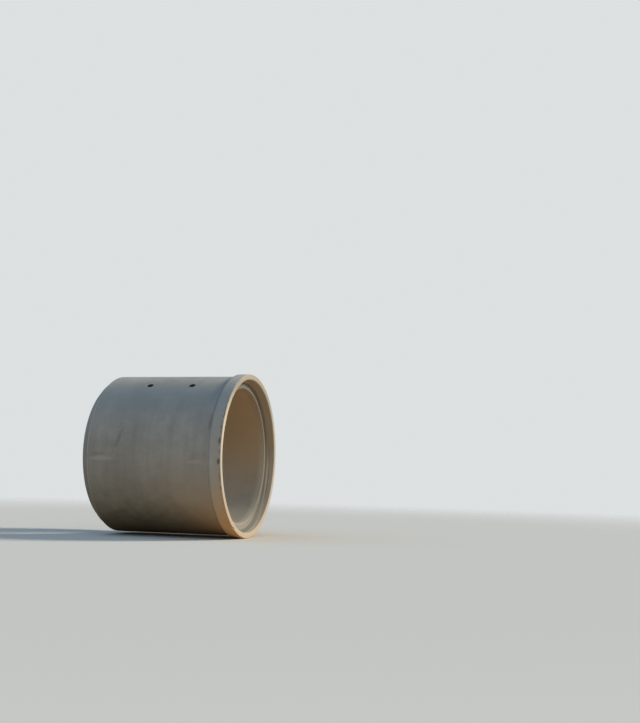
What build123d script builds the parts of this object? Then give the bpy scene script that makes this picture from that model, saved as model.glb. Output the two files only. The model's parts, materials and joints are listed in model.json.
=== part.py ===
import math
import os

from build123d import *

os.makedirs("parts", exist_ok=True)

# Large concrete culvert pipe lying on its side, millimetres, +Z up.
# The pipe runs along X: bell (socket) end at +X, spigot end at -X, floor at z = 0.

# Barrel
bore_d = 2000.0          # inside diameter
wall = 180.0             # barrel wall
laying_length = 2066.0   # length gained per pipe, with the bell face against the next shoulder

# Joint: two steps on the spigot and the matching two steps in the socket
socket_depth = 126.0     # bell face to the socket shoulder
joint_gap = 6.0          # left between spigot end and socket shoulder when closed
lip = 81.0               # concrete left outside the mouth step, at the bell face
mouth_step_len = 70.0    # depth of the wide step, from the bell face
joint_slope_len = 26.0   # slope between the wide and the narrow step
shoulder_rise = 84.0     # height of the socket shoulder above the bore
clear_land = 6.0         # radial clearance around the spigot's wide step
clear_nose = 8.0         # radial clearance around the spigot's nose, for the seal

# Bell band, a little thicker than the barrel
bell_step = 33.0
bell_band_len = 195.0
bell_taper_len = 30.0

# Lifting holes through the wall, on one line
lift_d = 80.0
lift_spacing = 666.0
lift_mid = 1035.0        # bell face to the middle of the two holes
lift_angle = 33.0        # degrees from the crown, towards -Y, as the pipe was set down
lift_flare = 9.0         # chamfer round the outer mouth of each hole

# Arrises
arris = 8.0
root_fillet = 6.0

# Derived sizes
bore_r = bore_d / 2
barrel_r = bore_r + wall
bell_r = barrel_r + bell_step
mouth_r = bell_r - lip
root_r = bore_r + shoulder_rise
land_r = mouth_r - clear_land
nose_r = root_r - clear_nose
spigot_len = socket_depth - joint_gap
land_len = mouth_step_len - joint_gap
total_len = laying_length + spigot_len
x_bell = total_len / 2
x_spigot = -total_len / 2
x_shoulder = x_spigot + spigot_len
x_socket = x_bell - socket_depth
x_slope_out = x_bell - mouth_step_len
x_slope_in = x_slope_out - joint_slope_len
x_land = x_shoulder - land_len
x_nose = x_land - joint_slope_len + joint_gap / 2

centre = Plane(origin=(0, 0, bell_r), x_dir=(1, 0, 0), z_dir=(0, -1, 0))
axis = Axis((0, 0, bell_r), (1, 0, 0))


def rings(part, x, radius):
    """Circular edges round the pipe's axis at this x and radius."""
    found = part.edges().filter_by(GeomType.CIRCLE)
    return found.filter_by(
        lambda e: abs(e.radius - radius) < 0.01
        and abs(e.arc_center.X - x) < 0.01
        and abs(e.arc_center.Y) < 0.01
    )


with BuildPart() as pipe:
    # Half section, from the bore round the socket, over the barrel to the spigot
    with BuildSketch(centre):
        with BuildLine():
            Polyline(
                (x_spigot, bore_r),
                (x_socket, bore_r),
                (x_socket, root_r),
                (x_slope_in, root_r),
                (x_slope_out, mouth_r),
                (x_bell, mouth_r),
                (x_bell, bell_r),
                (x_bell - bell_band_len + bell_taper_len, bell_r),
                (x_bell - bell_band_len, barrel_r),
                (x_shoulder, barrel_r),
                (x_shoulder, land_r),
                (x_land, land_r),
                (x_nose, nose_r),
                (x_spigot, nose_r),
                close=True,
            )
        make_face()
    revolve(axis=axis)

    # Cast arrises at both ends
    chamfer(rings(pipe.part, x_bell, mouth_r), arris)
    chamfer(rings(pipe.part, x_bell, bell_r), arris)
    chamfer(rings(pipe.part, x_shoulder, barrel_r), arris)
    chamfer(rings(pipe.part, x_spigot, nose_r), arris)
    chamfer(rings(pipe.part, x_spigot, bore_r), arris)
    chamfer(rings(pipe.part, x_socket, bore_r), arris / 2)
    fillet(rings(pipe.part, x_socket, root_r), root_fillet)
    fillet(rings(pipe.part, x_shoulder, land_r), root_fillet)

    # Lifting holes, square to the wall, with a flared outer mouth
    tilt = math.radians(lift_angle)
    out = Vector(0, -math.sin(tilt), math.cos(tilt))
    for side in (-1, 1):
        foot = Vector(x_bell - lift_mid + side * lift_spacing / 2, 0, bell_r)
        wall_plane = Plane(origin=foot + out * barrel_r, x_dir=(1, 0, 0), z_dir=out)
        with BuildSketch(wall_plane.offset(-wall * 1.5)):
            Circle(lift_d / 2)
        extrude(amount=wall * 2, mode=Mode.SUBTRACT)
        with BuildSketch(wall_plane.offset(-lift_flare)):
            Circle(lift_d / 2)
        with BuildSketch(wall_plane.offset(lift_flare)):
            Circle(lift_d / 2 + 2 * lift_flare)
        loft(mode=Mode.SUBTRACT)

pipe.part.label = "pipe"
export_step(pipe.part, "parts/pipe.step")
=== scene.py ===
"""Looks of the concrete culvert pipe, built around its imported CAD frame.

Metres, +Z up, floor at z = 0. The pipe lies along X with its bell at +X.
The angle round the pipe is 0 at the crown and grows towards -Y, the camera's side.
"""
import json
import math

import bpy
from mathutils import Matrix, Vector


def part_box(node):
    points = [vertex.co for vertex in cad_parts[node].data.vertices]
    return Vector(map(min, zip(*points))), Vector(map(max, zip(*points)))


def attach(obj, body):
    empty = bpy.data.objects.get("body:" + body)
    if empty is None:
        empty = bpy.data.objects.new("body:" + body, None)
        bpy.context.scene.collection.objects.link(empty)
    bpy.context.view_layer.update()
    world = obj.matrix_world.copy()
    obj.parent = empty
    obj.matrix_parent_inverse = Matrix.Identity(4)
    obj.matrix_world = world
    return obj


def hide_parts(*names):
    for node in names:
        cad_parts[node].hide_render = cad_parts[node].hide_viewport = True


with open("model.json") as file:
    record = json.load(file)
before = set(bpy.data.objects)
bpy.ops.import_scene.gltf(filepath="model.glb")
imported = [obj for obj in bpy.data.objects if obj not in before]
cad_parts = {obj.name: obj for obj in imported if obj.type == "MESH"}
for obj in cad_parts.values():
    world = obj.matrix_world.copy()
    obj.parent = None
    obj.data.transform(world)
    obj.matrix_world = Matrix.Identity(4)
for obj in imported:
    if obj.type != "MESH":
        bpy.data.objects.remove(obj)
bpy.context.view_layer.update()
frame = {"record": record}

# Sizes that the frame gives
mounts = {mount["name"]: mount for mount in frame["record"]["mounts"]}


def mount_radius(name):
    return mounts[name]["dims"]["r_mm"] / 1000


def mount_ends(name):
    """Lowest and highest x of a mount that lies along the pipe."""
    middle = mounts[name]["pos_m"][0]
    half = mounts[name]["dims"]["length_mm"] / 2000
    return middle - half, middle + half


low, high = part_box("pipe")
X_SPIGOT, X_BELL = low.x, high.x
AXIS_Z = high.z / 2
BELL_R = AXIS_Z
BORE_R = mount_radius("bore")
MOUTH_R = mount_radius("socket_mouth")
ROOT_R = mount_radius("socket_root")
LAND_R = mount_radius("spigot_land")
NOSE_R = mount_radius("spigot_nose")
X_SLOPE_OUT = mount_ends("socket_mouth")[0]
X_SLOPE_IN = mount_ends("socket_root")[1]
X_LAND = mount_ends("spigot_land")[0]
X_NOSE = mount_ends("spigot_nose")[1]
LIFT_R = mount_radius("lift_hole_socket_side")

# Sizes that no mount gives, as in the pipe's source
BARREL_R = 1.180
BAND_LEN = 0.195
BAND_TAPER = 0.030
ARRIS = 0.008
ROOT_FILLET = 0.006
LIFT_FLARE = 0.009
X_SOCKET = mount_ends("socket_root")[0] - ROOT_FILLET
X_SHOULDER = mount_ends("spigot_land")[1] + ROOT_FILLET
X_BAND = X_BELL - BAND_LEN


class Value:
    """A node's output whose arithmetic adds Math nodes to its tree."""

    def __init__(self, graph, socket):
        self.graph = graph
        self.socket = socket

    def math(self, operation, *others):
        return self.graph.math(operation, self, *others)

    def __add__(self, other):
        return self.math("ADD", other)

    __radd__ = __add__

    def __mul__(self, other):
        return self.math("MULTIPLY", other)

    __rmul__ = __mul__

    def __sub__(self, other):
        return self.math("SUBTRACT", other)

    def __rsub__(self, other):
        return self.graph.math("SUBTRACT", other, self)

    def __truediv__(self, other):
        return self.math("DIVIDE", other)

    def __pow__(self, other):
        return self.math("POWER", other)

    def __abs__(self):
        return self.math("ABSOLUTE")

    def step(self, start, end):
        """0 up to start, 1 from end on, smooth between them. End may be below start."""
        inputs = {"Value": self, "From Min": start, "From Max": end}
        return self.graph.take("ShaderNodeMapRange", inputs, out="Result", interpolation_type="SMOOTHSTEP")

    def window(self, start, full, waning, gone):
        """0 outside start and gone, 1 from full to waning, smooth between them."""
        return self.step(start, full) * self.step(gone, waning)


class Graph:
    """Adds nodes to a material's or a Geometry Nodes tree."""

    def __init__(self, tree):
        self.tree = tree

    def take(self, kind, inputs=None, out=0, **settings):
        """A node's output: its settings are made first, then its sockets get values or links."""
        node = self.tree.nodes.new(kind)
        for name, setting in settings.items():
            setattr(node, name, setting)
        for key, value in (inputs or {}).items():
            several = value if isinstance(value, list) else [value]
            for one in several:
                if isinstance(one, Value):
                    self.tree.links.new(one.socket, node.inputs[key])
                else:
                    node.inputs[key].default_value = one
        return None if out is None else Value(self, node.outputs[out])

    def math(self, operation, *values):
        return self.take("ShaderNodeMath", dict(enumerate(values)), operation=operation)

    def vector(self, operation, *values):
        return self.take("ShaderNodeVectorMath", dict(enumerate(values)), operation=operation)

    def scaled(self, vector, factor):
        inputs = {"Vector": vector, "Scale": factor}
        return self.take("ShaderNodeVectorMath", inputs, operation="SCALE")

    def parts(self, vector):
        """The x, y and z of a vector."""
        node = self.take("ShaderNodeSeparateXYZ", {"Vector": vector}).socket.node
        return [Value(self, socket) for socket in node.outputs]

    def join(self, x, y, z):
        return self.take("ShaderNodeCombineXYZ", {"X": x, "Y": y, "Z": z})

    def noise(self, where, scale, detail=2.0, roughness=0.5):
        inputs = {"Vector": where, "Scale": scale, "Detail": detail, "Roughness": roughness}
        return self.take("ShaderNodeTexNoise", inputs)

    def mix(self, factor, first, second):
        """A colour between two, each a colour or another mix."""
        sockets = {"Factor_Float": factor, "A_Color": first, "B_Color": second}
        node = self.tree.nodes.new("ShaderNodeMix")
        node.data_type = "RGBA"
        by_identifier = {socket.identifier: socket for socket in node.inputs}
        for key, value in sockets.items():
            if isinstance(value, Value):
                self.tree.links.new(value.socket, by_identifier[key])
            elif key == "Factor_Float":
                by_identifier[key].default_value = value
            else:
                by_identifier[key].default_value = (*value, 1)
        result = {socket.identifier: socket for socket in node.outputs}["Result_Color"]
        return Value(self, result)


# Geometry Nodes trees

SHARP_FROM = math.radians(32)


def new_tree(name, **inputs):
    """An empty Geometry Nodes tree with a named input for each size, and its input values."""
    tree = bpy.data.node_groups.new(name, "GeometryNodeTree")
    tree.interface.new_socket("Geometry", in_out="OUTPUT", socket_type="NodeSocketGeometry")
    tree.interface.new_socket("Geometry", in_out="INPUT", socket_type="NodeSocketGeometry")
    kinds = {int: "NodeSocketInt", float: "NodeSocketFloat"}
    for label, value in inputs.items():
        socket = tree.interface.new_socket(
            label.replace("_", " "), in_out="INPUT", socket_type=kinds[type(value)]
        )
        socket.default_value = value
    graph = Graph(tree)
    node = tree.nodes.new("NodeGroupInput")
    values = {socket.name.replace(" ", "_"): Value(graph, socket) for socket in node.outputs if socket.name}
    return graph, values


def close_tree(graph, geometry, material):
    """Ends a tree: smooth but for its arrises, realized and of one material."""
    smooth = graph.take("GeometryNodeSetShadeSmooth", {"Geometry": geometry, "Shade Smooth": True})
    angle = graph.take("GeometryNodeInputMeshEdgeAngle", out="Unsigned Angle")
    sharp = graph.take("FunctionNodeCompare", {0: angle, 1: SHARP_FROM}, operation="GREATER_THAN")
    creased = graph.take(
        "GeometryNodeSetShadeSmooth",
        {"Geometry": smooth, "Selection": sharp, "Shade Smooth": False},
        domain="EDGE",
    )
    whole = graph.take("GeometryNodeRealizeInstances", {"Geometry": creased})
    painted = graph.take("GeometryNodeSetMaterial", {"Geometry": whole, "Material": material})
    output = graph.tree.nodes.new("NodeGroupOutput")
    graph.tree.links.new(painted.socket, output.inputs[0])


def run_tree(piece, graph, **values):
    """Runs a tree on the piece with these inputs, and keeps the result as its plain mesh."""
    modifier = piece.modifiers.new(graph.tree.name, "NODES")
    modifier.node_group = graph.tree
    items = [item for item in graph.tree.interface.items_tree if item.in_out == "INPUT"]
    identifiers = {item.name.replace(" ", "_"): item.identifier for item in items}
    for label, value in values.items():
        modifier[identifiers[label]] = value
    depsgraph = bpy.context.evaluated_depsgraph_get()
    made = bpy.data.meshes.new_from_object(piece.evaluated_get(depsgraph))
    piece.modifiers.remove(modifier)
    piece.data = made
    made.name = piece.name


# The faces' mark, which the concrete reads: what cut them, if anything did
BROKEN = "broken"
MARK_SKIN = 0.0
MARK_LIFTING_HOLE = 0.25
MARK_AIR_HOLE = 0.5
MARK_CHIP = 1.0


def marked(graph, geometry, mark):
    """Geometry whose faces all carry one mark."""
    inputs = {"Geometry": geometry, "Name": BROKEN, "Value": mark}
    return graph.take("GeometryNodeStoreNamedAttribute", inputs, data_type="FLOAT", domain="FACE")


def cut_away(graph, body, cutter):
    """The body without the cutter. The cut faces keep the cutter's mark."""
    inputs = {"Mesh 1": body, "Mesh 2": cutter}
    return graph.take("GeometryNodeMeshBoolean", inputs, operation="DIFFERENCE", solver="MANIFOLD")


# Radius of the sweep's path, which the section is laid out for, and how much finer the ripples are
SWEEP_R = 1.0
RIPPLES_FINER = 6.0


def casting_tree(material):
    """Sweeps the half section round the axis, and gives the skin the form's slight waves."""
    graph, value = new_tree(
        "Cast ring", Segments=384, Axis_height=1.0, Wave_depth=0.001, Wave_scale=2.0, Ripple_depth=0.0005
    )
    section = graph.take("GeometryNodeMeshToCurve", {"Mesh": value["Geometry"]})
    path = graph.take(
        "GeometryNodeCurvePrimitiveCircle", {"Resolution": value["Segments"], "Radius": SWEEP_R}
    )
    ring = graph.take("GeometryNodeCurveToMesh", {"Curve": path, "Profile Curve": section})
    turned = graph.take(
        "GeometryNodeTransform",
        {
            "Geometry": ring,
            "Rotation": (0, math.pi / 2, 0),
            "Translation": graph.join(0.0, 0.0, value["Axis_height"]),
        },
    )
    where = graph.take("GeometryNodeInputPosition")
    waves = graph.noise(where, value["Wave_scale"], 2.0)
    ripples = graph.noise(where, value["Wave_scale"] * RIPPLES_FINER, 1.0)
    inwards = waves * value["Wave_depth"] + ripples * value["Ripple_depth"]
    offset = graph.scaled(graph.take("GeometryNodeInputNormal"), inwards * -1.0)
    skin = graph.take("GeometryNodeSetPosition", {"Geometry": turned, "Offset": offset})
    close_tree(graph, marked(graph, skin, MARK_SKIN), material)
    return graph


# Size of the smallest air hole in shares of the largest, and how flat they are
AIR_HOLE_LEAST = 0.35
AIR_HOLE_FLAT = 0.8


def air_hole_tree(material):
    """Small air holes, as a form leaves them, scattered over the whole skin."""
    graph, value = new_tree("Air holes", Density=12.0, Spacing=0.06, Hole_radius=0.006, Seed=3)
    body = value["Geometry"]
    spread = {
        "Mesh": body,
        "Distance Min": value["Spacing"],
        "Density Max": value["Density"],
        "Seed": value["Seed"],
    }
    points = graph.take("GeometryNodeDistributePointsOnFaces", spread, distribute_method="POISSON")
    turn = Value(graph, points.socket.node.outputs["Rotation"])
    chance = graph.take("FunctionNodeRandomValue", {2: 0.0, 3: 1.0, "Seed": value["Seed"]}, out=1)
    size = value["Hole_radius"] * (AIR_HOLE_LEAST + (1.0 - AIR_HOLE_LEAST) * chance**3.0)
    bubble = graph.take("GeometryNodeMeshIcoSphere", {"Radius": 1.0, "Subdivisions": 2})
    flat = graph.join(size, size, size * AIR_HOLE_FLAT)
    holes = graph.take(
        "GeometryNodeInstanceOnPoints",
        {"Points": points, "Instance": bubble, "Rotation": turn, "Scale": flat},
    )
    cutter = graph.take("GeometryNodeRealizeInstances", {"Geometry": holes})
    close_tree(graph, cut_away(graph, body, marked(graph, cutter, MARK_AIR_HOLE)), material)
    return graph


# Chips: shift along the arris in gaps, least size and its spread, greatest extra length, roughness
CHIP_SHIFT = 1.1
CHIP_LEAST = 0.60
CHIP_SPREAD = 0.95
CHIP_LONGER = 2.6
CHIP_ROUGH_SCALE = 90.0


def chip_tree(material):
    """Chips knocked out of one arris: a row of rough lumps cut away along a stretch of its ring."""
    graph, value = new_tree(
        "Knocked arris",
        Place=0.0,
        Ring_radius=1.0,
        Axis_height=1.0,
        Start_angle=0.0,
        Sweep_angle=6.2,
        Count=20,
        Chip_size=0.01,
        Unevenness=1.0,
        Seed=1,
    )
    arc = graph.take(
        "GeometryNodeCurveArc",
        {
            "Resolution": value["Count"],
            "Radius": value["Ring_radius"],
            "Start Angle": value["Start_angle"],
            "Sweep Angle": value["Sweep_angle"],
        },
        mode="RADIUS",
    )
    points = graph.take("GeometryNodeCurveToPoints", {"Curve": arc}, mode="EVALUATED")
    turn = Value(graph, points.socket.node.outputs["Rotation"])
    gap = value["Sweep_angle"] / value["Count"]

    def chance(low_end, high_end, channel):
        inputs = {2: low_end, 3: high_end, "Seed": value["Seed"] * 7.0 + channel}
        return graph.take("FunctionNodeRandomValue", inputs, out=1)

    # Each point turns along its ring by a part of the gap, so that the chips don't stand evenly
    shift = chance(-CHIP_SHIFT, CHIP_SHIFT, 1.0) * gap * value["Unevenness"]
    where = graph.take("GeometryNodeInputPosition")
    moved = graph.take(
        "ShaderNodeVectorRotate",
        {"Vector": where, "Axis": (0, 0, 1), "Angle": shift},
        rotation_type="AXIS_ANGLE",
    )
    placed = graph.take("GeometryNodeSetPosition", {"Geometry": points, "Position": moved})
    spread = CHIP_SPREAD * chance(0.0, 1.0, 2.0) ** 3.0 * value["Unevenness"]
    size = value["Chip_size"] * (CHIP_LEAST + spread)
    along = 1.0 + CHIP_LONGER * chance(0.0, 1.0, 3.0) ** 2.0
    lump = graph.take("GeometryNodeMeshIcoSphere", {"Radius": 1.0, "Subdivisions": 3})
    long = graph.join(size, size, size * along)
    lumps = graph.take(
        "GeometryNodeInstanceOnPoints",
        {"Points": placed, "Instance": lump, "Rotation": turn, "Scale": long},
    )
    real = graph.take("GeometryNodeRealizeInstances", {"Geometry": lumps})
    rough = graph.noise(where, CHIP_ROUGH_SCALE, 2.0) - 0.5
    offset = graph.scaled(graph.take("GeometryNodeInputNormal"), rough * value["Chip_size"])
    broken = graph.take("GeometryNodeSetPosition", {"Geometry": real, "Offset": offset})
    turned = graph.take(
        "GeometryNodeTransform",
        {
            "Geometry": broken,
            "Rotation": (0, math.pi / 2, 0),
            "Translation": graph.join(value["Place"], 0.0, value["Axis_height"]),
        },
    )
    cutter = marked(graph, turned, MARK_CHIP)
    close_tree(graph, cut_away(graph, value["Geometry"], cutter), material)
    return graph


# The cutter of a lifting hole reaches this far into and out of the wall, and its flared mouth is
# this many flares tall, from one flare below the wall's surface
LIFT_REACH = 0.30
LIFT_MOUTH_TALL = 4.0
LIFT_SIDES = 64


def lift_hole_tree(material):
    """Cuts the two lifting holes, with their flared outer mouths, square through the wall."""
    graph, value = new_tree(
        "Lifting hole", Place=0.0, Axis_height=1.0, Angle=0.5, Wall_radius=1.0, Hole_radius=0.04, Flare=0.01
    )
    flare = value["Flare"]
    mouth_tall = flare * LIFT_MOUTH_TALL
    bore = graph.take(
        "GeometryNodeMeshCylinder",
        {"Vertices": LIFT_SIDES, "Radius": value["Hole_radius"], "Depth": 2 * LIFT_REACH},
        fill_type="NGON",
    )
    mouth = graph.take(
        "GeometryNodeMeshCone",
        {
            "Vertices": LIFT_SIDES,
            "Radius Bottom": value["Hole_radius"],
            "Radius Top": value["Hole_radius"] + mouth_tall,
            "Depth": mouth_tall,
        },
    )
    lifted = graph.take(
        "GeometryNodeTransform",
        {"Geometry": mouth, "Translation": graph.join(0.0, 0.0, flare * -1.0)},
    )
    both = graph.take(
        "GeometryNodeMeshBoolean", {"Mesh 2": [bore, lifted]}, operation="UNION", solver="MANIFOLD"
    )
    out = graph.take(
        "GeometryNodeTransform",
        {"Geometry": both, "Translation": graph.join(0.0, 0.0, value["Wall_radius"])},
    )
    placed = graph.take(
        "GeometryNodeTransform",
        {
            "Geometry": out,
            "Rotation": graph.join(value["Angle"], 0.0, 0.0),
            "Translation": graph.join(value["Place"], 0.0, value["Axis_height"]),
        },
    )
    cutter = marked(graph, placed, MARK_LIFTING_HOLE)
    close_tree(graph, cut_away(graph, value["Geometry"], cutter), material)
    return graph


# Concrete

CEMENT_DARK = (0.235, 0.232, 0.222)
CEMENT = (0.375, 0.370, 0.352)
CEMENT_PALE = (0.520, 0.508, 0.475)
LAITANCE = (0.640, 0.610, 0.545)
SOIL = (0.260, 0.225, 0.170)
# Damp soil, and painted shade where the pipe meets the ground
DAMP_SOIL_AND_SHADE = (0.116, 0.102, 0.080)
STONE_CHIP = (0.180, 0.172, 0.160)
# Painted shade inside the lifting holes
HOLE_SHADE = (0.040, 0.037, 0.032)
# Warm dust, and painted warm bounce light in the bore
DUST_AND_BOUNCE = (0.500, 0.375, 0.250)
# Painted shade on the socket's shoulder, root and slope
SEAT_SHADE = (0.215, 0.210, 0.196)
SLOPE_SHADE = (0.178, 0.168, 0.152)
# Painted blue sky light for the upper flanks
PAINTED_SKY_BLUE = (0.215, 0.285, 0.345)
# Painted skylight for the bell face's -Y side
FACE_SKYLIT = (0.720, 0.690, 0.640)
# Painted sunlight for the bell face
FACE_SUNLIT = (0.620, 0.565, 0.465)
# Sand, and painted warm bounce light from the ground
SAND_AND_BOUNCE = (0.720, 0.505, 0.310)

# Coats: colour, and how much of it covers what lies under it where the coat is thickest
COATS = {
    "cement": (CEMENT, 1.0),
    "pale cement": (CEMENT_PALE, 1.0),
    "laitance patch": (LAITANCE, 0.22),
    "damp patch": (CEMENT_DARK, 0.18),
    "crown dust": (LAITANCE, 0.38),
    "soil splash": (SOIL, 0.55),
    "dusty flank": (SOIL, 0.17),
    "damp foot": (DAMP_SOIL_AND_SHADE, 0.85),
    "bore silt": (SOIL, 0.30),
    "bore bloom": (CEMENT_PALE, 0.30),
    "bore dust": (DUST_AND_BOUNCE, 1.0),
    "washed bore end": (LAITANCE, 0.45),
    "dull bore end": (CEMENT_DARK, 0.30),
    "clean socket": (LAITANCE, 0.55),
    "seat dirt": (SEAT_SHADE, 1.0),
    "slope dirt": (SLOPE_SHADE, 1.0),
    "rubbed sand": (SAND_AND_BOUNCE, 1.0),
    "rain film": (PAINTED_SKY_BLUE, 0.43),
    "pale rub": (LAITANCE, 1.0),
    "dark rub": (STONE_CHIP, 1.0),
    "caught dirt": (STONE_CHIP, 1.0),
    "rim scuff": (STONE_CHIP, 0.80),
    "worn arris": (LAITANCE, 0.50),
    "bell face": (FACE_SUNLIT, 1.0),
    "rubbed face": (FACE_SKYLIT, 1.0),
    "face soil": (SOIL, 0.14),
    "air hole": (CEMENT_DARK, 0.55),
    "lifting hole": (HOLE_SHADE, 0.92),
    "pin hole": (STONE_CHIP, 0.55),
}
BROKEN_SHARE = 0.70

# Textures in space: times a metre, detail, roughness
TEXTURES = {
    "cloud": (0.9, 4.0, 0.55),
    "mottle": (5.5, 5.0, 0.60),
    "grain": (70.0, 4.0, 0.65),
    "sand": (320.0, 2.0, 0.50),
}

# Textures in the skin: times a metre along the pipe, times round it, shift, detail, roughness
SKIN_TEXTURES = {
    "runs": (11.0, 1.1, 0.0, 4.0, 0.55),
    "lifts": (3.0, 0.4, 0.0, 3.0, 0.50),
    "patches": (2.2, 1.5, 0.0, 6.0, 0.62),
    "damp": (1.7, 2.0, 7.0, 5.0, 0.60),
    "ragged": (9.0, 26.0, 0.0, 4.0, 0.65),
    "scuffs": (60.0, 22.0, 0.0, 4.0, 0.60),
}

# How far each texture moves the cement's tone, and how much paler the band is
TONE_SHARES = {"cloud": 0.34, "mottle": 0.26, "grain": 0.26, "sand": 0.24, "runs": 0.18, "lifts": 0.16}
BAND_PALER = 0.12

# Radii between which a mask turns on
OUTSIDE_FROM = (1.140, 1.150)
BORE_FROM = (1.030, 1.015)

# Places along the pipe: where a mask starts and is full, and for a ring also where it wanes and is gone
SOCKET_FROM = (X_SOCKET - 0.006, X_SOCKET - 0.001)
BORE_END_FROM = (X_SOCKET - 0.125, X_SOCKET - 0.040)
BELL_FACE_FROM = (X_BELL - 0.004, X_BELL - 0.001)
BELL_RIM_FROM = (X_BELL - 0.055, X_BELL - 0.014)
SHOULDER_RING = (X_SOCKET - 0.008, X_SOCKET - 0.003, X_SOCKET + 0.002, X_SOCKET + 0.008)
ROOT_RING = (X_SOCKET + 0.002, X_SOCKET + 0.008, X_SLOPE_IN - 0.004, X_SLOPE_IN + 0.006)
SLOPE_RING = (X_SLOPE_IN - 0.008, X_SLOPE_IN - 0.001, X_SLOPE_OUT - 0.003, X_SLOPE_OUT + 0.001)

# Corners whose arrises are worn pale, and how far from the corner the wear starts and is full
CORNERS_WORN = [
    (X_BELL, MOUTH_R),
    (X_SHOULDER, BARREL_R),
    (X_SPIGOT, NOSE_R),
    (X_SPIGOT, BORE_R),
]
WEAR_REACH = (0.026, 0.006)

# Marks left by handling, and one painted shadow under the band's taper: x, angle in degrees,
# half length along x, half width round the pipe, lean of the mark, and how pale (above 0) or dark (below 0)
# it is
RUB_MARKS_AND_SHADOW = [
    (-0.49, 81.6, 0.046, 0.210, -0.32, -0.44),
    (-0.75, 94.8, 0.260, 0.040, 0.05, 0.33),
    (-0.80, 91.5, 0.160, 0.034, 0.00, -0.38),
    (0.70, 96.0, 0.130, 0.040, 0.03, 0.30),
    (0.83, 91.0, 0.040, 0.150, 0.00, -0.20),
    # Painted shadow under the band's taper
    (0.880, 68.0, 0.030, 0.170, 0.00, -0.55),
    (1.068, 72.5, 0.010, 0.030, 0.00, -0.90),
    (1.062, 81.5, 0.018, 0.065, 0.00, -1.00),
    (1.060, 95.5, 0.026, 0.050, 0.00, -1.00),
]

STONE_SCALE = 95.0
PIN_HOLE_SCALE = 55.0
BUMP_DEPTH = 0.0022
BUMP_STRENGTH = 0.55
SPECULAR = 0.35


class Spot:
    """Where a point of the concrete lies, and the textures that the coats draw on."""

    def __init__(self, graph):
        self.graph = graph
        self.point = graph.take("ShaderNodeTexCoord", out="Object")
        centred = graph.vector("SUBTRACT", self.point, (0.0, 0.0, AXIS_Z))
        self.x, self.y, self.z = graph.parts(centred)
        self.radius = (self.y * self.y + self.z * self.z) ** 0.5
        self.height = self.z + AXIS_Z
        self.angle = graph.math("ARCTAN2", self.y * -1.0, self.z)
        self.round_y = self.y / self.radius
        self.round_z = self.z / self.radius
        self.texture = {name: graph.noise(self.point, *settings) for name, settings in TEXTURES.items()}
        for name, settings in SKIN_TEXTURES.items():
            self.texture[name] = self.skin_texture(*settings)

    def skin_texture(self, along, around, shift, detail, roughness):
        place = self.x * along
        if shift:
            place = place + shift
        where = self.graph.join(place, self.round_y * around, self.round_z * around)
        return self.graph.noise(where, 1.0, detail, roughness)

    def ragged(self, value, **amounts):
        """The value, moved up and down by these amounts of the textures."""
        for name, amount in amounts.items():
            value = value + (self.texture[name] - 0.5) * amount
        return value


class Wall:
    """Masks for the surfaces of the wall, told apart by their radius and place along the pipe."""

    def __init__(self, spot):
        x = spot.x
        radius = spot.radius
        within = radius.step(OUTSIDE_FROM[1], OUTSIDE_FROM[0])
        self.outside = radius.step(*OUTSIDE_FROM)
        self.bore = radius.step(*BORE_FROM)
        self.socket = x.step(*SOCKET_FROM) * within
        self.inside = self.bore.math("MAXIMUM", self.socket)
        self.band = self.outside * x.step(X_BAND, X_BAND + BAND_TAPER)
        self.bell_face = x.step(*BELL_FACE_FROM)
        self.shoulder = x.window(*SHOULDER_RING)
        self.root = x.window(*ROOT_RING)
        self.slope = x.window(*SLOPE_RING)
        self.bore_end = self.bore * spot.ragged(x, cloud=0.05).step(*BORE_END_FROM)


class Coating:
    """The concrete's colour, laid on coat by coat."""

    def __init__(self, graph, ground):
        self.graph = graph
        self.colour = ground

    def coat(self, name, where):
        colour, share = COATS[name]
        self.colour = self.graph.mix(where * share, self.colour, colour)


def lay_cement(skin, spot, wall):
    """Cloudy cement with sand grain, runs and casting lifts, and patches of laitance and damp."""
    tone = wall.band * BAND_PALER + 0.5
    tone = spot.ragged(tone, **TONE_SHARES)
    skin.coat("cement", tone.step(0.22, 0.62))
    skin.coat("pale cement", tone.step(0.48, 0.92))
    skin.coat("laitance patch", spot.texture["patches"].step(0.56, 0.76))
    skin.coat("damp patch", spot.texture["damp"].step(0.56, 0.74))


def lay_dust_soil_and_painted_light(skin, spot, wall, splash):
    """Dust on the crown, soil low on the outside, a damp foot with painted shade, soil along the bore's
    bottom, warm dust and painted warm bounce light in the bore.
    """
    outside = wall.outside
    band = wall.band
    height = spot.height
    crown = spot.ragged(spot.z, mottle=0.10, cloud=0.10).step(1.00, 1.19)
    skin.coat("crown dust", crown * outside)
    skin.coat("soil splash", splash * outside)
    flank = spot.ragged(height, mottle=0.30).step(1.45, 0.60)
    skin.coat("dusty flank", flank * outside * (1.0 - band * 0.7))
    # Darker towards the ground: damp soil, and painted shade of the ground contact
    foot = spot.ragged(height, mottle=0.25).step(0.63, 0.04)
    skin.coat("damp foot", foot * outside * (1.0 - band * 0.8))
    bottom = spot.ragged(height, mottle=0.50).step(0.62, 0.20)
    skin.coat("bore silt", bottom * wall.inside)

    # The bore's dust with painted warm bounce light, growing towards the top, thinner in the socket and
    # less towards the bottom
    skin.coat("bore bloom", wall.inside)
    thickness = wall.bore * 0.45 - wall.bore_end * 0.30 + 0.35
    rising = spot.ragged(height, cloud=0.60).step(0.30, 1.60)
    skin.coat("bore dust", wall.inside * rising * thickness)
    # At the bore's end: paler towards the bottom, darker towards the top
    skin.coat("washed bore end", wall.bore_end * spot.z.step(0.60, -0.30))
    skin.coat("dull bore end", wall.bore_end * spot.z.step(0.45, 0.95))


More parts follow.
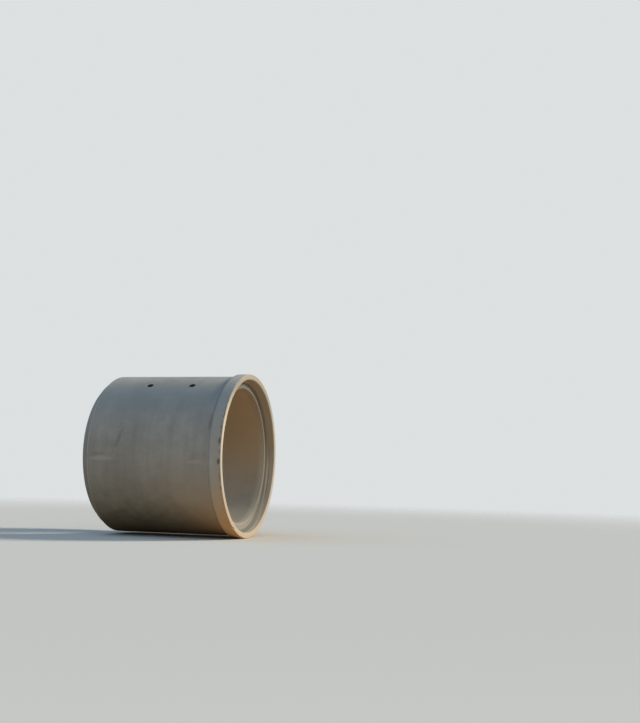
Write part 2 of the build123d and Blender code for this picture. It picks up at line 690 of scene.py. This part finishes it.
def lay_socket_tones(skin, spot, wall):
    """The socket: painted bounce light low down, painted shade on the shoulder and root, and painted shade
    on the slope, most at the bottom.
    """
    z = spot.z
    # Painted bounce light, paler low in the socket
    bounce_lit = wall.socket * (1.0 - wall.shoulder * 0.8) * z.step(0.25, -0.35)
    skin.coat("clean socket", bounce_lit)
    # Painted shade on the shoulder and root
    shoulder_shade = z.step(-1.05, -0.75) * 0.67 + 0.30
    root_shade = z.step(0.00, 0.60) * 0.55 + z.step(-0.10, -0.50) * 0.40
    skin.coat("seat dirt", wall.socket * (wall.shoulder * shoulder_shade + wall.root * root_shade))
    # Painted shade on the slope, stronger towards the bottom
    slope_shade = z.step(-0.05, -0.65) * 0.62 + 0.32
    skin.coat("slope dirt", wall.socket * wall.slope * slope_shade)


def lay_sand_and_sky_tint(skin, spot, wall):
    """Sand rubbed on low down towards the bell, partly painted warm bounce light, and a painted blue sky
    tint below the crown.
    """
    low_down = spot.ragged(spot.height, mottle=0.80, cloud=0.40).step(1.15, 0.10)
    towards_bell = spot.x.step(-0.20, 1.00) * 0.35 + wall.band * 0.40
    # Sand and painted warm bounce light, more towards the bell and on the band
    skin.coat("rubbed sand", wall.outside * low_down * towards_bell)
    # Painted blue sky light on the upper flanks, below the crown
    skin.coat("rain film", wall.outside * spot.z.window(0.30, 0.90, 0.90, 1.05))


def lay_rubs_and_band_shadow(skin, spot, wall):
    """Ragged ovals, each pale or dark, at the places that handling rubbed, and one dark oval that is a
    painted shadow under the band's taper.
    """
    uneven = (spot.texture["ragged"] - 0.5) * 1.6 + (spot.texture["grain"] - 0.5) * 1.1
    rubs_and_shadow = 0.0
    for mark_x, mark_angle, half_x, half_round, lean, strength in RUB_MARKS_AND_SHADOW:
        along = spot.x - mark_x
        across = (spot.angle - math.radians(mark_angle)) * BARREL_R
        u = (along - across * lean) / half_x
        v = across / half_round
        rubs_and_shadow = (u * u + v * v + uneven).step(1.25, 0.0) * strength + rubs_and_shadow
    rubs_and_shadow = rubs_and_shadow * wall.outside
    skin.coat("pale rub", rubs_and_shadow.step(0.0, 1.0))
    # Dark rubs, and the painted shadow under the band's taper
    skin.coat("dark rub", (rubs_and_shadow * -1.0).step(0.0, 1.0))


def lay_edges(skin, spot, wall):
    """Dirt and painted shade behind the band, scuffs along the bell's rim, worn arrises, and the bell face
    with painted sunlight, painted skylight on its -Y side and a darker top.
    """
    x = spot.x
    z = spot.z
    angle = spot.angle
    behind_band = abs(x - (X_BAND + 0.002)).step(0.018, 0.004) * wall.outside
    # Dirt, and painted shade in the crease behind the band, darker higher up
    dirt_and_shade = behind_band * (z.step(0.10, 1.00) * 0.65 + 0.20)
    skin.coat("caught dirt", dirt_and_shade * spot.texture["mottle"].step(0.36, 0.60))

    along_rim = spot.radius.step(BELL_R - 0.010, BELL_R - 0.005) * x.step(*BELL_RIM_FROM)
    handled = angle.window(0.60, 1.20, 1.70, 2.40) * 0.65 + 0.25
    skin.coat("rim scuff", along_rim * spot.texture["scuffs"].step(0.44, 0.58) * handled)

    nearest = None
    for corner_x, corner_r in CORNERS_WORN:
        off_x = x - corner_x
        off_r = spot.radius - corner_r
        off = (off_x * off_x + off_r * off_r) ** 0.5
        nearest = off if nearest is None else nearest.math("MINIMUM", off)
    skin.coat("worn arris", spot.ragged(nearest, grain=0.020, mottle=0.016).step(*WEAR_REACH))

    # Painted sunlight on the bell face, less towards the top
    skin.coat("bell face", wall.bell_face * (0.60 - z.step(0.40, 1.15) * 0.58))
    # Painted skylight on the bell face's -Y side
    skylit = angle.window(0.50, 1.30, 1.80, 2.30) * (angle.step(1.75, 1.35) * 0.30 + 0.55)
    skin.coat("rubbed face", wall.bell_face * skylit)
    # Darker towards the top of the bell face
    skin.coat("face soil", wall.bell_face * z.step(0.85, 1.10))


def lay_broken_faces(skin, spot):
    """Stones showing in the chips, and painted shade darkening the air holes and lifting holes."""
    graph = skin.graph
    mark = graph.take("ShaderNodeAttribute", out="Fac", attribute_name=BROKEN, attribute_type="GEOMETRY")
    stones = graph.take("ShaderNodeTexVoronoi", {"Vector": spot.point, "Scale": STONE_SCALE}, feature="F1")
    broken = graph.mix(stones.step(0.30, 0.18), CEMENT_PALE, STONE_CHIP)
    skin.colour = graph.mix(mark.step(0.60, 0.90) * BROKEN_SHARE, skin.colour, broken)
    # Painted shade in the air holes and lifting holes
    skin.coat("air hole", mark.window(0.30, 0.45, 0.55, 0.75))
    skin.coat("lifting hole", mark.window(0.10, 0.20, 0.30, 0.40))


def pin_holes(graph, spot):
    """Pin holes too small for geometry: a share of the cells, each with a depth of its own."""
    inputs = {"Vector": spot.point, "Scale": PIN_HOLE_SCALE}
    cells = graph.take("ShaderNodeTexVoronoi", inputs, feature="F1")
    cell_tone = Value(graph, cells.socket.node.outputs["Color"])
    pick, depth = graph.parts(cell_tone)[:2]
    return cells.step(0.16, 0.08) * pick.step(0.80, 0.84) * depth.step(0.1, 0.9)


def concrete():
    """Cast concrete, weathered and handled as this pipe is, with light and shade painted into its colour in
    places.
    """
    material = bpy.data.materials.new("Cast concrete")
    material.use_nodes = True
    tree = material.node_tree
    tree.nodes.clear()
    graph = Graph(tree)

    spot = Spot(graph)
    wall = Wall(spot)
    skin = Coating(graph, CEMENT_DARK)
    lay_cement(skin, spot, wall)
    splash = spot.ragged(spot.height, mottle=0.90, cloud=0.50).step(0.75, -0.10)
    lay_dust_soil_and_painted_light(skin, spot, wall, splash)
    lay_socket_tones(skin, spot, wall)
    lay_sand_and_sky_tint(skin, spot, wall)
    lay_rubs_and_band_shadow(skin, spot, wall)
    lay_edges(skin, spot, wall)
    lay_broken_faces(skin, spot)
    pins = pin_holes(graph, spot)
    # Painted shade in the pin holes
    skin.coat("pin hole", pins)

    roughness = spot.ragged(splash * 0.06 + 0.84, mottle=0.16, grain=0.10)
    texture = spot.texture
    relief = texture["grain"] * 0.45 + texture["sand"] * 0.25 + texture["mottle"] * 0.6 - pins * 0.9
    inputs = {"Strength": BUMP_STRENGTH, "Distance": BUMP_DEPTH, "Height": relief}
    bump = graph.take("ShaderNodeBump", inputs, out="Normal")
    inputs = {
        "Base Color": skin.colour,
        "Roughness": roughness,
        "Normal": bump,
        "Specular IOR Level": SPECULAR,
    }
    shader = graph.take("ShaderNodeBsdfPrincipled", inputs)
    graph.take("ShaderNodeOutputMaterial", {"Surface": shader}, out=None)
    return material


# Half section


def softened(corners, turns=3):
    """The section's points, with each corner rounded off over its own distance."""
    points = []
    count = len(corners)
    for index, (x, r, soft) in enumerate(corners):
        here = Vector((x, r))
        before = Vector(corners[index - 1][:2])
        after = Vector(corners[(index + 1) % count][:2])
        start = here + (before - here).normalized() * soft
        end = here + (after - here).normalized() * soft
        for turn in range(turns + 1):
            share = turn / turns
            first = start.lerp(here, share)
            second = here.lerp(end, share)
            points.append(first.lerp(second, share))
    return points


def spaced(points, longest):
    """The same closed line with points added, so that no run is longer than this."""
    line = []
    for index, here in enumerate(points):
        after = points[(index + 1) % len(points)]
        pieces = max(1, math.ceil((after - here).length / longest))
        line += [here.lerp(after, step / pieces) for step in range(pieces)]
    return line


# How far each kind of corner is softened, and the longest run between two points of the section
CAST = 0.0025
SEAT = 0.0012
SLOPE_CORNER = 0.004
BAND_CORNER = 0.006
LONGEST_RUN = 0.038

# Corners of the half section: x, radius and softening, from the bore round the bell to the spigot
SECTION = [
    (X_SPIGOT + ARRIS, BORE_R, CAST),
    (X_SOCKET - ARRIS / 2, BORE_R, SEAT),
    (X_SOCKET, BORE_R + ARRIS / 2, SEAT),
    (X_SOCKET, ROOT_R, ROOT_FILLET),
    (X_SLOPE_IN, ROOT_R, SLOPE_CORNER),
    (X_SLOPE_OUT, MOUTH_R, SLOPE_CORNER),
    (X_BELL - ARRIS, MOUTH_R, CAST),
    (X_BELL, MOUTH_R + ARRIS, CAST),
    (X_BELL, BELL_R - ARRIS, CAST),
    (X_BELL - ARRIS, BELL_R, CAST),
    (X_BAND + BAND_TAPER, BELL_R, BAND_CORNER),
    (X_BAND, BARREL_R, BAND_CORNER),
    (X_SHOULDER + ARRIS, BARREL_R, CAST),
    (X_SHOULDER, BARREL_R - ARRIS, CAST),
    (X_SHOULDER, LAND_R, ROOT_FILLET),
    (X_LAND, LAND_R, SLOPE_CORNER),
    (X_NOSE, NOSE_R, SLOPE_CORNER),
    (X_SPIGOT + ARRIS, NOSE_R, CAST),
    (X_SPIGOT, NOSE_R - ARRIS, CAST),
    (X_SPIGOT, BORE_R + ARRIS, CAST),
]


def section_piece(name):
    """The half section as a closed line, laid out for the sweep: x is the radius, y minus the pipe's x."""
    line = spaced(softened(SECTION), LONGEST_RUN)
    mesh = bpy.data.meshes.new(name)
    count = len(line)
    points = [(point.y - SWEEP_R, -point.x, 0.0) for point in line]
    mesh.from_pydata(points, [(index, (index + 1) % count) for index in range(count)], [])
    piece = bpy.data.objects.new(name, mesh)
    bpy.context.scene.collection.objects.link(piece)
    return piece


# The pipe

stuff = concrete()
pipe = section_piece("pipe_concrete")
run_tree(
    pipe,
    casting_tree(stuff),
    Axis_height=AXIS_Z,
    Wave_depth=0.0016,
    Wave_scale=1.7,
    Ripple_depth=0.0006,
)

lift_holes = lift_hole_tree(stuff)
for side in ("lift_hole_socket_side", "lift_hole_spigot_side"):
    hole = mounts[side]
    run_tree(
        pipe,
        lift_holes,
        Place=hole["pos_m"][0],
        Axis_height=AXIS_Z,
        Angle=math.atan2(-hole["axis"][1], hole["axis"][2]),
        Wall_radius=BARREL_R,
        Hole_radius=LIFT_R,
        Flare=LIFT_FLARE,
    )

FULL_TURN = 2 * math.pi
chips = chip_tree(stuff)
# Place, radius, count, size and seed of the chips round each arris
KNOCKS = [
    (X_BELL, BELL_R, 21, 0.0125, 11),
    (X_BELL, MOUTH_R, 12, 0.0110, 12),
    (X_SHOULDER, BARREL_R, 22, 0.0130, 13),
    (X_SPIGOT, NOSE_R, 20, 0.0130, 14),
    (X_SPIGOT, BORE_R, 14, 0.0115, 15),
]
for place, ring, count, size, seed in KNOCKS:
    run_tree(
        pipe,
        chips,
        Place=place,
        Ring_radius=ring,
        Axis_height=AXIS_Z,
        Start_angle=0.3,
        Sweep_angle=FULL_TURN * (count - 1) / count,
        Count=count,
        Chip_size=size,
        Seed=seed,
    )
run_tree(pipe, air_hole_tree(stuff), Hole_radius=0.0065)

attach(pipe, "root")
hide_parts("pipe")


# Floor and background

FLOOR_PALE = (0.74, 0.735, 0.72)
FLOOR_BOUNCE = (0.58, 0.41, 0.24)
BACKGROUND = (0.72, 0.75, 0.755)
# Radius and sides of the floor's disc, and the distances between which it fades for the camera
FLOOR_REACH = 60.0
FLOOR_SIDES = 64
FLOOR_FADES = (9.0, 26.0)


def floor_material():
    """Pale where the camera sees it, of a sand tone in the light that it throws back, fading far out."""
    material = bpy.data.materials.new("Studio floor")
    material.use_nodes = True
    tree = material.node_tree
    tree.nodes.clear()
    graph = Graph(tree)
    seen = graph.take("ShaderNodeLightPath", out="Is Camera Ray")
    colour = graph.mix(seen, FLOOR_BOUNCE, FLOOR_PALE)
    matte = graph.take("ShaderNodeBsdfDiffuse", {"Color": colour})
    clear = graph.take("ShaderNodeBsdfTransparent")
    x, y = graph.parts(graph.take("ShaderNodeTexCoord", out="Object"))[:2]
    far_out = ((x * x + y * y) ** 0.5).step(*FLOOR_FADES)
    surface = graph.take("ShaderNodeMixShader", {0: far_out * seen, 1: matte, 2: clear})
    graph.take("ShaderNodeOutputMaterial", {"Surface": surface}, out=None)
    return material


def floor_piece():
    mesh = bpy.data.meshes.new("floor")
    turns = [FULL_TURN * corner / FLOOR_SIDES for corner in range(FLOOR_SIDES)]
    rim = [(FLOOR_REACH * math.cos(turn), FLOOR_REACH * math.sin(turn), 0.0) for turn in turns]
    mesh.from_pydata(rim, [], [list(range(FLOOR_SIDES))])
    mesh.materials.append(floor_material())
    piece = bpy.data.objects.new("floor", mesh)
    bpy.context.scene.collection.objects.link(piece)
    return piece


floor_piece()


def world_light(strength, colour):
    """An even light from all round, and a plain pale background for the camera."""
    world = bpy.data.worlds.new("Studio")
    world.use_nodes = True
    world.node_tree.nodes.clear()
    graph = Graph(world.node_tree)
    seen = graph.take("ShaderNodeLightPath", out="Is Camera Ray")
    light = graph.take("ShaderNodeBackground", {"Color": (*colour, 1), "Strength": strength})
    plain = graph.take("ShaderNodeBackground", {"Color": (*BACKGROUND, 1), "Strength": 1.0})
    surface = graph.take("ShaderNodeMixShader", {0: seen, 1: light, 2: plain})
    graph.take("ShaderNodeOutputWorld", {"Surface": surface}, out=None)
    bpy.context.scene.world = world


def soft_sun(name, towards, strength, colour, spread):
    """A soft lamp that stands in this direction from the pipe."""
    lamp = bpy.data.lights.new(name, "SUN")
    lamp.energy = strength
    lamp.color = colour
    lamp.angle = math.radians(spread)
    piece = bpy.data.objects.new(name, lamp)
    piece.rotation_euler = Vector(towards).to_track_quat("Z", "Y").to_euler()
    bpy.context.scene.collection.objects.link(piece)


WORLD_STRENGTH = 0.17
WORLD_COLOUR = (0.90, 1.00, 1.06)
# Direction, strength, colour and spread in degrees of each lamp
LAMPS = {
    "key": ((0.76, 0.42, 0.50), 2.95, (1.0, 0.89, 0.73), 14.0),
    "sky": ((-0.45, -0.50, 0.65), 0.85, (0.36, 0.66, 1.0), 80.0),
    "front": ((0.60, -0.62, 0.50), 0.32, (1.0, 1.0, 0.82), 50.0),
}
world_light(WORLD_STRENGTH, WORLD_COLOUR)
for name, settings in LAMPS.items():
    soft_sun(name, *settings)


# Camera, at the photograph's place

CAMERA_LENS = 50.79
CAMERA_SENSOR = 36.0
CAMERA_CLIP_END = 200.0
CAMERA_AT = (6.240, -14.376, 0.867)
CAMERA_RIGHT = (0.9621, 0.27168, 0.0259)
CAMERA_BACK = (0.2728, -0.95515, -0.11645)

camera_data = bpy.data.cameras.new("camera")
camera_data.lens = CAMERA_LENS
camera_data.sensor_width = CAMERA_SENSOR
camera_data.clip_end = CAMERA_CLIP_END
camera = bpy.data.objects.new("camera", camera_data)
right = Vector(CAMERA_RIGHT).normalized()
back = Vector(CAMERA_BACK)
back = (back - right * back.dot(right)).normalized()
up = back.cross(right)
turned = Matrix((right, up, back)).transposed().to_4x4()
camera.matrix_world = Matrix.Translation(CAMERA_AT) @ turned
bpy.context.scene.collection.objects.link(camera)
bpy.context.scene.camera = camera

bpy.context.scene.view_settings.view_transform = "Standard"
